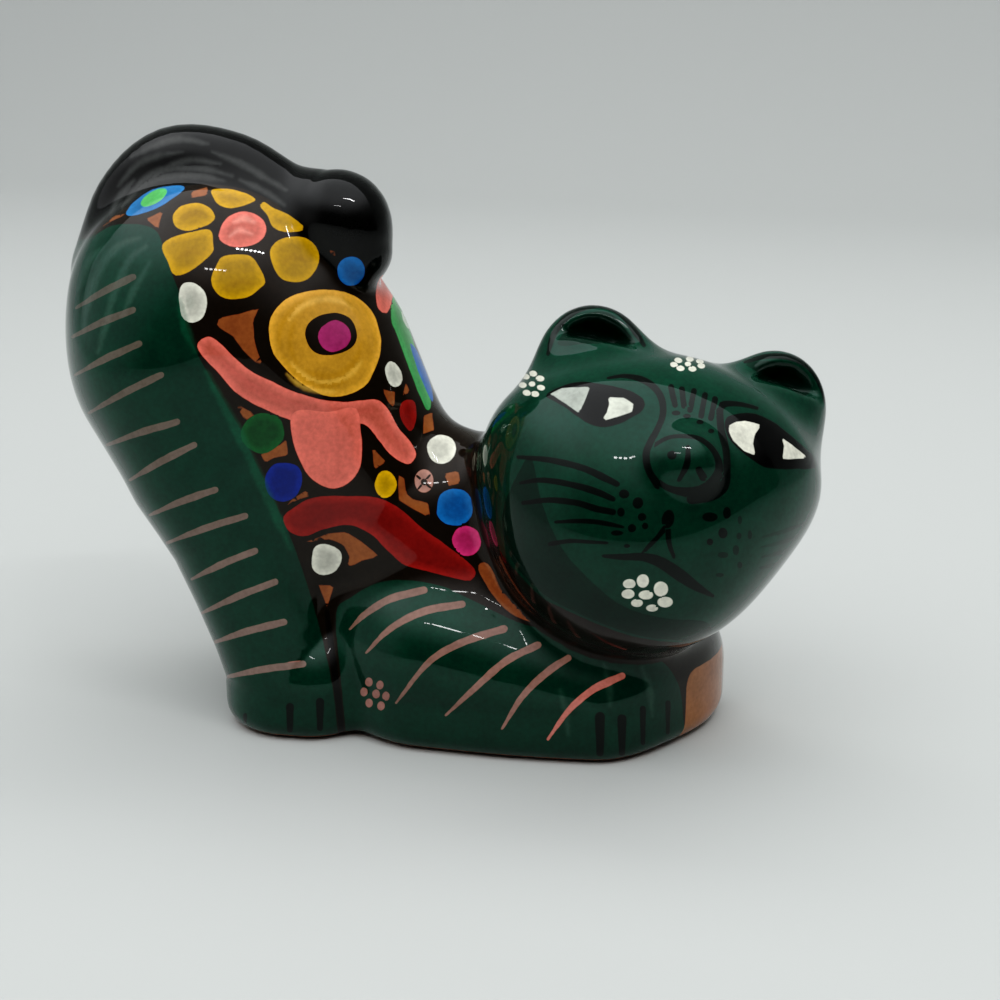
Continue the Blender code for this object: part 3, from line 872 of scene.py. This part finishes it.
CLAWS = ((245, 715, 722, 2.0), (290, 707, 730, 4.0), (320, 702, 728, 4.2), (600, 717, 753, 5.2),
    (622, 719, 753, 4.6), (643, 709, 743, 3.2), (668, 703, 733, 2.6))
for x, top, bottom, width in CLAWS:
    lines.draw("body", INK, ((x, top, width), (x, bottom, width * 0.7)), alpha=0.9)
BETWEEN_LEGS = ((327, 612, 2.5), (333, 660, 3.2), (339, 705, 3.0), (343, 745, 2.0))
lines.draw("body", INK, BETWEEN_LEGS, alpha=0.85)
FORELEG_FLOWER = ((376, 694), (369, 682), (380, 685), (386, 696), (381, 706), (369, 703), (364, 692))
tops.dab("show", "a87268", *((x, y, 3.7, 4.4) for x, y in FORELEG_FLOWER), alpha=0.8)
print("stripes and tops laid on", int((tops.gap < 0).sum()), "faces")

# %% [markdown]
# ## The face
# Eyes, brows, nose and whiskers are drawn last with a fine liner brush in black, over the dry green coat.

# %% Face
LEFT_EYE = ((546, 395), (562, 386), (579, 382), (595, 383), (612, 386), (631, 391), (644, 400), (643, 410),
    (633, 417), (619, 424), (605, 427), (590, 424), (578, 417), (566, 408), (554, 401))
LEFT_EYE_WHITES = (
    ((551, 394), (562, 388), (590, 387), (586, 397), (582, 407), (580, 414), (569, 406)),
    ((608, 397), (624, 398), (634, 404), (632, 412), (621, 416), (602, 421), (607, 412), (609, 404)),
)
RIGHT_EYE = ((726, 419), (736, 414), (751, 413), (770, 420), (788, 433), (806, 449), (815, 458), (815, 468),
    (792, 469), (768, 468), (753, 460), (735, 446), (726, 432))
RIGHT_EYE_WHITES = (
    ((729, 426), (736, 422), (746, 421), (761, 425), (755, 434), (753, 443), (755, 455), (744, 451),
        (733, 441), (729, 432)),
    ((782, 438), (792, 445), (808, 458), (792, 459), (782, 459), (784, 447)),
)
LEFT_BROW = ((608, 378, 1.4), (624, 376, 2.2), (641, 379, 3.2), (655, 388, 3.6), (662, 400, 3.6),
    (663, 414, 3.4), (658, 428, 3.2), (650, 443, 3.4), (646, 455, 3.6), (649, 471, 3.6), (658, 485, 4.0))
RIGHT_BROW = ((757, 408, 1.6), (738, 404, 2.6), (721, 406, 3.4), (721, 428, 3.6), (726, 450, 3.6),
    (727, 471, 3.8), (724, 486, 5.0), (712, 494, 6.5), (692, 499, 5.5))
NOSE_RIM = ((653, 446, 2.0), (667, 438, 2.2), (681, 436, 2.2), (698, 438, 2.4), (711, 447, 2.8),
    (718, 459, 3.4), (719, 471, 4.4), (713, 484, 6.5), (700, 492, 6.5), (684, 492, 4.6), (668, 488, 3.0),
    (656, 480, 2.6))
NOSE_MARKS = (((688, 447, 2.2), (687, 464, 3.2), (679, 480, 2.2)), ((699, 470, 3.5), (703, 477, 4.2)))
FROWN = ((671, 387, 675, 405), (682, 389, 684, 406), (694, 391, 690, 410), (705, 395, 701, 416),
    (715, 399, 711, 418))
FROWN_DOTS = ((676, 413, 4.5, 2.6), (687, 416, 4.0, 2.4), (700, 422, 3.5, 2.2), (711, 431, 3.0, 2.2))
LEFT_WHISKERS = (
    ((518, 457, 1.6), (550, 460, 3.0), (583, 468, 3.2), (603, 477, 3.6), (617, 484, 2.8)),
    ((520, 483, 1.5), (543, 480, 2.6), (573, 485, 3.2), (597, 492, 3.4), (613, 499, 2.6)),
    ((523, 503, 2.0), (550, 500, 2.8), (577, 503, 3.0), (597, 509, 3.2), (613, 512, 3.0)),
    ((555, 522, 1.4), (577, 521, 2.2), (597, 522, 2.6), (623, 527, 1.6)),
    ((550, 544, 2.4), (570, 541, 2.2), (590, 542, 2.0), (608, 543, 1.2)),
)
RIGHT_WHISKERS = (
    ((763, 537), (785, 531), (810, 521)),
    ((762, 547), (783, 542), (807, 533)),
    ((762, 557), (780, 553), (800, 546)),
    ((760, 568), (775, 565), (790, 560)),
)
LEFT_SPOTS = ((624, 494, 5.2, 4.6), (638, 503, 5.2, 5.6), (621, 512, 3.6, 4.4), (642, 517, 4.2, 4.0),
    (632, 528, 4.2, 4.2), (617, 533, 6.0, 2.6), (645, 526, 3.0, 3.2), (627, 546, 3.2, 2.0))
RIGHT_SPOTS = ((710, 517, 7.5, 4.6), (727, 513, 3.8, 5.8), (723, 533, 4.6, 5.4), (710, 542, 3.2, 3.4),
    (740, 520, 2.2, 4.2), (739, 536, 2.6, 3.4), (750, 535, 2.2, 4.6), (736, 550, 3.2, 5.0),
    (723, 555, 5.0, 3.0), (740, 565, 2.6, 3.4), (720, 575, 4.2, 2.2))
LIP_LINES = (
    ((665, 528, 2.8), (657, 538, 2.4), (650, 545, 2.4), (642, 554, 1.4)),
    ((668, 528, 2.6), (669, 543, 2.6), (674, 557, 1.8)),
)
MOUTH = ((603, 556, 1.8), (623, 557, 3.2), (643, 557, 4.2), (660, 562, 5.6), (680, 575, 6.2),
    (697, 587, 4.4), (713, 596, 1.6))
# Painted shade: a dark sheet along the face's left and lower edge, where the varnish mirrors the dark room.
CHEEK_PAINTED_SHADE = ((524, 462), (533, 462), (541, 500), (560, 545), (590, 580), (623, 606), (663, 618),
    (703, 621), (712, 630), (706, 638), (690, 641), (645, 637), (605, 625), (565, 607), (540, 591),
    (512, 560), (502, 515))
LEFT_EAR_RIM = ((548, 354, 1.8), (553, 336, 3.0), (563, 321, 3.4), (577, 310, 3.4), (595, 305, 3.4),
    (612, 308, 3.2), (625, 317, 3.4), (635, 331, 3.4), (644, 345, 2.0))
# Painted shade: the outline of the left ear's hollow, filled with a darker green.
LEFT_EAR_PAINTED_SHADE = ((558, 345), (566, 330), (582, 316), (600, 311), (614, 316), (626, 331), (635, 344),
    (612, 343), (584, 344))
RIGHT_EAR_RIM = ((745, 362, 1.6), (768, 356, 2.6), (792, 358, 3.0), (810, 368, 3.0), (821, 386, 2.4),
    (825, 402, 1.4))
# Painted shade: the outline of the right ear's hollow, filled with a darker green.
RIGHT_EAR_PAINTED_SHADE = ((746, 364), (762, 361), (788, 363), (804, 371), (811, 385), (806, 396), (791, 390),
    (774, 380), (757, 371))
CHIN_PETALS = ((646, 595, 7.0, 4.4), (643, 581, 5.8, 6.4), (661, 589, 7.2, 7.4), (665, 602, 7.6, 5.2),
    (652, 608, 5.8, 3.4), (637, 603, 5.8, 3.8), (628, 594, 6.2, 4.6), (629, 584, 6.0, 4.6))
NOSTRIL_DOT = (672, 455, 4.6, 4.2)
LIP_DOT = (668, 519, 6.2, 9.5, 12)
SMALL_FLOWERS = ((532, 384, 9.5, 10.5, 4.0), (688, 364, 14.0, 5.0, 3.8))
blobs.fill("face", INK, LEFT_EYE, RIGHT_EYE)
# Painted shade over the green along the face's lower edge.
blobs.fill("face", "021009", CHEEK_PAINTED_SHADE, alpha=0.6)
# Painted shade inside the ear hollows.
blobs.fill("face", "04170f", LEFT_EAR_PAINTED_SHADE, RIGHT_EAR_PAINTED_SHADE, alpha=0.6)
# The left eye's whites are greyer than the right eye's, the outer one most: painted shade.
for code, white in zip(("a9b0a6", "ced2c4"), LEFT_EYE_WHITES):
    tops.fill("face", code, white, smooth=False, alpha=0.92)
tops.fill("face", WHITE, *RIGHT_EYE_WHITES, smooth=False)
lines.draw("face", INK, LEFT_EAR_RIM, RIGHT_EAR_RIM, alpha=0.85)
lines.draw("face", INK, LEFT_BROW, RIGHT_BROW, NOSE_RIM, *NOSE_MARKS, alpha=0.92)
lines.draw("face", INK, *(((xa, ya), (xb, yb)) for xa, ya, xb, yb in FROWN), width=2.9, alpha=0.92)
lines.dab("face", INK, NOSTRIL_DOT, *FROWN_DOTS, alpha=0.92)
lines.draw("face", INK, *LEFT_WHISKERS, *LIP_LINES, MOUTH, alpha=0.9)
lines.dab("face", INK, LIP_DOT, *LEFT_SPOTS, *RIGHT_SPOTS[:4], alpha=0.9)
lines.dab("face", INK, *RIGHT_SPOTS[4:], alpha=0.6)
lines.draw("face", INK, *RIGHT_WHISKERS, width=2.2, tip=1.0, alpha=0.35)
tops.dab("face", WHITE, *CHIN_PETALS)
petal_turns = np.radians(np.arange(7) * 360.0 / 7.0 + 20.0)
for x, y, wide, high, size in SMALL_FLOWERS:
    tops.dab("face", WHITE, (x, y, size * 0.8, size * 0.6), alpha=0.9)
    for turn in petal_turns:
        petal = (x + wide * np.cos(turn), y + high * np.sin(turn), size, size * 0.7, 10)
        tops.dab("face", WHITE, petal, alpha=0.9)
print("face lines laid on", int((lines.gap < 0).sum()), "faces")

# %% [markdown]
# ## The seam round the head
# Where the head was pressed onto the body, the painter ran the black along the groove between them. The
# line is 1.4 mm wide and lies mostly on the head's side of the join.

# %% Seam
SEAM_PLACE = 0.55
SEAM_HALF_WIDTH = 0.70
seam = Layer("seam")
seam.flood(np.abs(head_edge + SEAM_PLACE) - SEAM_HALF_WIDTH, BLACK)
print("seam laid on", int((seam.gap < 0).sum()), "faces")

# %% [markdown]
# ## The skin takes the paint
# The marks go onto the mesh as its own attributes, so they stay put from every side. A UV map could place
# them as well, but a closed form with ears and legs would need seams, and attributes need none.

# %% The painted piece
mesh = bpy.data.meshes.new("painted_cat")
mesh.vertices.add(len(vertices))
mesh.vertices.foreach_set("co", vertices.astype(np.float32).ravel())
mesh.loops.add(quads.size)
mesh.loops.foreach_set("vertex_index", quads.astype(np.int32).ravel())
mesh.polygons.add(len(quads))
mesh.polygons.foreach_set("loop_start", np.arange(0, quads.size, 4, dtype=np.int32))
mesh.update(calc_edges=True)
mesh.shade_smooth()
LAYERS = (coats, ground, blobs, streaks, lines, tops, seam)
for layer in LAYERS:
    mark = mesh.attributes.new(layer.name + "_mark", "FLOAT_VECTOR", "CORNER")
    mark.data.foreach_set("vector", layer.mark.astype(np.float32).ravel())
    colour = mesh.attributes.new(layer.name + "_colour", "FLOAT_COLOR", "CORNER")
    colour.data.foreach_set("color", layer.colour.astype(np.float32).ravel())
cat = bpy.data.objects.new("painted_cat", mesh)
bpy.context.scene.collection.objects.link(cat)
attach(cat, "root")
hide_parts("clay_cat")
print("mesh is sound:", not mesh.validate())

# %% [markdown]
# ## Varnished paint on clay
# The paint is matt and slightly raised, its edges waver with the hand, and thin strokes let the coat below
# through. Over it all lies a thick clear varnish, which gives the figurine its hard shine. Each layer has
# its own brush: how soft its edge is in mm, how much it wavers, and how dark its middle is by its rim. The
# eye sees deep, flat colours with small hard highlights over them. The shader's own clear coat gives that,
# where a second shell for the varnish would double every edge.

# %% Material
SOFTNESS = (0.10, 0.10, 0.08, 0.45, 0.07, 0.08, 0.15)
WAVERING = (0.5, 0.6, 0.6, 1.5, 0.4, 0.6, 1.0)
MIDDLE_SHADE = (1.0, 1.0, 0.68, 1.0, 1.0, 0.90, 1.0)
RIM_SHADE = 1.04
WAVER_REACH = 0.22
PAINT_ROUGHNESS = 0.5
PAINT_SHINE = 0.1
VARNISH_ROUGHNESS = 0.03
# Clear varnish has an index near 1.5. A lower one matches the fainter mirror images in the photo.
VARNISH_IOR = 1.40
PAINT_HEIGHT = 0.00008


def add(tree, kind, inputs=None, **settings):
    """One shader node with its settings; each input takes a value, or a socket to link."""
    node = tree.nodes.new("ShaderNode" + kind)
    for name, value in settings.items():
        setattr(node, name, value)
    for name, value in (inputs or {}).items():
        if isinstance(value, bpy.types.NodeSocket):
            tree.links.new(value, node.inputs[name])
        else:
            node.inputs[name].default_value = value
    return node


def varnished_painted_clay():
    """Layers of matt brush paint under one coat of clear gloss varnish."""
    material = bpy.data.materials.new("varnished_painted_clay")
    material.use_nodes = True
    tree = material.node_tree
    shader = tree.nodes["Principled BSDF"]
    where = add(tree, "TexCoord").outputs["Object"]
    # The hand wavers every 2.4 mm or so.
    waver = add(tree, "TexNoise", {"Vector": where, "Scale": 420.0, "Detail": 2.0}).outputs["Fac"]
    waver = add(tree, "MapRange", {"Value": waver, "To Min": -WAVER_REACH,
                                   "To Max": WAVER_REACH}).outputs["Result"]
    # Bristles leave marks 0.7 mm apart, and the brush's load changes about every 4 mm.
    fine = add(tree, "TexNoise", {"Vector": where, "Scale": 1500.0, "Detail": 3.0}).outputs["Fac"]
    broad = add(tree, "TexNoise", {"Vector": where, "Scale": 260.0, "Detail": 3.0}).outputs["Fac"]
    shade = add(tree, "Math", {0: fine, 1: broad}, operation="ADD").outputs[0]
    shade = add(tree, "MapRange", {"Value": shade, "From Min": 0.7, "From Max": 1.3,
                                   "To Min": 0.80, "To Max": 1.16}).outputs["Result"]
    colour = srgb(BLACK)
    height = None
    for layer, edge, uneven, middle in zip(LAYERS, SOFTNESS, WAVERING, MIDDLE_SHADE):
        mark = add(tree, "Attribute", attribute_name=layer.name + "_mark").outputs["Vector"]
        parts = add(tree, "SeparateXYZ", {"Vector": mark}).outputs
        flat = add(tree, "CombineXYZ", {"X": parts["X"], "Y": parts["Y"]}).outputs[0]
        gap = add(tree, "VectorMath", {0: flat}, operation="LENGTH").outputs["Value"]
        gap = add(tree, "Math", {0: gap, 1: parts["Z"]}, operation="SUBTRACT").outputs[0]
        gap = add(tree, "Math", {0: waver, 1: uneven, 2: gap}, operation="MULTIPLY_ADD").outputs[0]
        cover = add(tree, "MapRange", {"Value": gap, "From Min": edge, "From Max": -edge},
                    interpolation_type="SMOOTHSTEP").outputs["Result"]
        paint = add(tree, "Attribute", attribute_name=layer.name + "_colour").outputs
        cover = add(tree, "Math", {0: cover, 1: paint["Alpha"]}, operation="MULTIPLY").outputs[0]
        # Paint pools in a rim that starts 1.3 mm from the edge.
        rim = add(tree, "MapRange", {"Value": gap, "From Min": -1.3, "From Max": -0.2, "To Min": middle,
                                     "To Max": RIM_SHADE}).outputs["Result"]
        paint = add(tree, "VectorMath", {0: paint["Color"], "Scale": rim}, operation="SCALE").outputs[0]
        # Inputs 6 and 7 of a colour Mix are its two colours, and output 2 is their blend.
        colour = add(tree, "Mix", {"Factor": cover, 6: colour, 7: paint}, data_type="RGBA").outputs[2]
        if layer in (blobs, lines, tops):
            height = cover if height is None else add(tree, "Math", {0: height, 1: cover},
                                                      operation="ADD").outputs[0]
    colour = add(tree, "VectorMath", {0: colour, "Scale": shade}, operation="SCALE").outputs[0]
    tree.links.new(colour, shader.inputs["Base Color"])
    grain = add(tree, "Math", {0: fine, 1: 0.25, 2: height}, operation="MULTIPLY_ADD").outputs[0]
    bump = add(tree, "Bump", {"Strength": 0.25, "Distance": PAINT_HEIGHT, "Height": grain}).outputs["Normal"]
    tree.links.new(bump, shader.inputs["Normal"])
    shader.inputs["Roughness"].default_value = PAINT_ROUGHNESS
    shader.inputs["Specular IOR Level"].default_value = PAINT_SHINE
    shader.inputs["Coat Weight"].default_value = 1.0
    shader.inputs["Coat Roughness"].default_value = VARNISH_ROUGHNESS
    shader.inputs["Coat IOR"].default_value = VARNISH_IOR
    print("shader nodes:", len(tree.nodes))
    return material


cat.data.materials.append(varnished_painted_clay())

# %% [markdown]
# ## The table and the light
# A sheet of pale card runs under the figurine and up behind it. The light is soft and comes from above, with
# short bright lamps in a row whose mirror images dot the varnish, as strip lights do. A picture of a room
# could light it too, but with plain lamps each highlight can be traced to the light that makes it.

# %% Stage and lights
def pale_card():
    """Matt paper-white card, with the faint sheen of pressed paper."""
    material = bpy.data.materials.new("pale_card")
    material.use_nodes = True
    shader = material.node_tree.nodes["Principled BSDF"]
    shader.inputs["Base Color"].default_value = srgb("b5b8b6")
    shader.inputs["Roughness"].default_value = 0.55
    shader.inputs["Specular IOR Level"].default_value = 0.25
    return material


CARD_HALF_WIDTH = 4.0
CARD_FRONT = -4.0
CARD_BEND = 0.52
CARD_RADIUS = 0.30
CARD_TOP = 2.0
bend = np.linspace(0.0, np.pi / 2, 24)
curve = np.stack((CARD_BEND + CARD_RADIUS * np.sin(bend), CARD_RADIUS * (1.0 - np.cos(bend))), axis=1)
profile = np.vstack((((CARD_FRONT, 0.0),), curve, ((CARD_BEND + CARD_RADIUS, CARD_TOP),)))
card_points = np.vstack([np.column_stack((np.full(len(profile), x), profile))
                         for x in (-CARD_HALF_WIDTH, CARD_HALF_WIDTH)])
row = np.arange(len(profile) - 1)
card_mesh = bpy.data.meshes.new("card")
card_mesh.from_pydata(card_points.tolist(), [], np.stack(
    (row, row + len(profile), row + len(profile) + 1, row + 1), axis=1).tolist())
card_mesh.shade_smooth()
card = bpy.data.objects.new("card", card_mesh)
card.data.materials.append(pale_card())
bpy.context.scene.collection.objects.link(card)


def lamp(name, place, target, size, power, mirrored=True):
    """A rectangular light at place that looks at target; unless mirrored, it shows no image in varnish."""
    data = bpy.data.lights.new(name, "AREA")
    data.shape = "RECTANGLE"
    data.size, data.size_y = size
    data.energy = power
    light = bpy.data.objects.new(name, data)
    light.visible_glossy = mirrored
    back = np.asarray(place, float) - np.asarray(target, float)
    back /= np.linalg.norm(back)
    right = np.cross((0.0, 0.0, 1.0), back) if abs(back[2]) < 0.99 else np.array((1.0, 0.0, 0.0))
    right /= np.linalg.norm(right)
    turned = np.eye(4)
    turned[:3, :3] = np.stack((right, np.cross(back, right), back), axis=1)
    turned[:3, 3] = place
    light.matrix_world = Matrix(turned.tolist())
    bpy.context.scene.collection.objects.link(light)


MIDDLE = (0.0, 0.0, 0.045)
DIODE_SIZE = (0.020, 0.012)
DIODE_PITCH = 0.034
lamp("soft_back", place=(0.0, 0.28, 0.55), target=MIDDLE, size=(0.9, 0.2), power=2.3, mirrored=False)
lamp("soft_front", place=(0.0, -0.45, 0.70), target=MIDDLE, size=(1.0, 0.6), power=2.6, mirrored=False)


def lamp_row(name, place, along, count, power):
    """Small bright lamps in a level row, as on a strip of diodes."""
    for number in range(count):
        offset = (number - (count - 1) / 2) * DIODE_PITCH * np.array(along)
        lamp(f"{name}_{number}", np.array(place) + offset, MIDDLE, DIODE_SIZE, power)


lamp_row("strip_right", place=(0.274, -0.223, 0.615), along=(0.906, 0.423, 0.0), count=7, power=0.08)
lamp_row("strip_front", place=(0.082, -0.470, 0.517), along=(0.995, 0.104, 0.0), count=5, power=0.022)
print("lights:", len(bpy.data.lights))

# %% [markdown]
# ## The room
# The ceiling is bright and the walls are dark, so the top of each form is grey in the varnish and its side
# is deep. A faint window glows on the left.

# %% Room
CEILING = {"From Min": 0.30, "From Max": 0.90, "To Min": 0.03, "To Max": 1.65}
WINDOW_WAY = (-0.92, -0.25, 0.30)
WINDOW = {"From Min": 0.55, "From Max": 0.97, "To Min": 0.0, "To Max": 0.6}
world = bpy.data.worlds.new("room")
bpy.context.scene.world = world
world.use_nodes = True
room = world.node_tree
toward = add(room, "TexCoord").outputs["Generated"]
up = add(room, "SeparateXYZ", {"Vector": toward}).outputs["Z"]
up = add(room, "MapRange", {"Value": up, **CEILING}, interpolation_type="SMOOTHSTEP").outputs["Result"]
left = add(room, "VectorMath", {0: toward, 1: WINDOW_WAY}, operation="DOT_PRODUCT").outputs["Value"]
left = add(room, "MapRange", {"Value": left, **WINDOW}, interpolation_type="SMOOTHSTEP").outputs["Result"]
glow = add(room, "Math", {0: up, 1: left}, operation="ADD").outputs[0]
room.nodes["Background"].inputs["Color"].default_value = srgb("e8eaec")
room.links.new(glow, room.nodes["Background"].inputs["Strength"])
print("room nodes:", len(room.nodes))
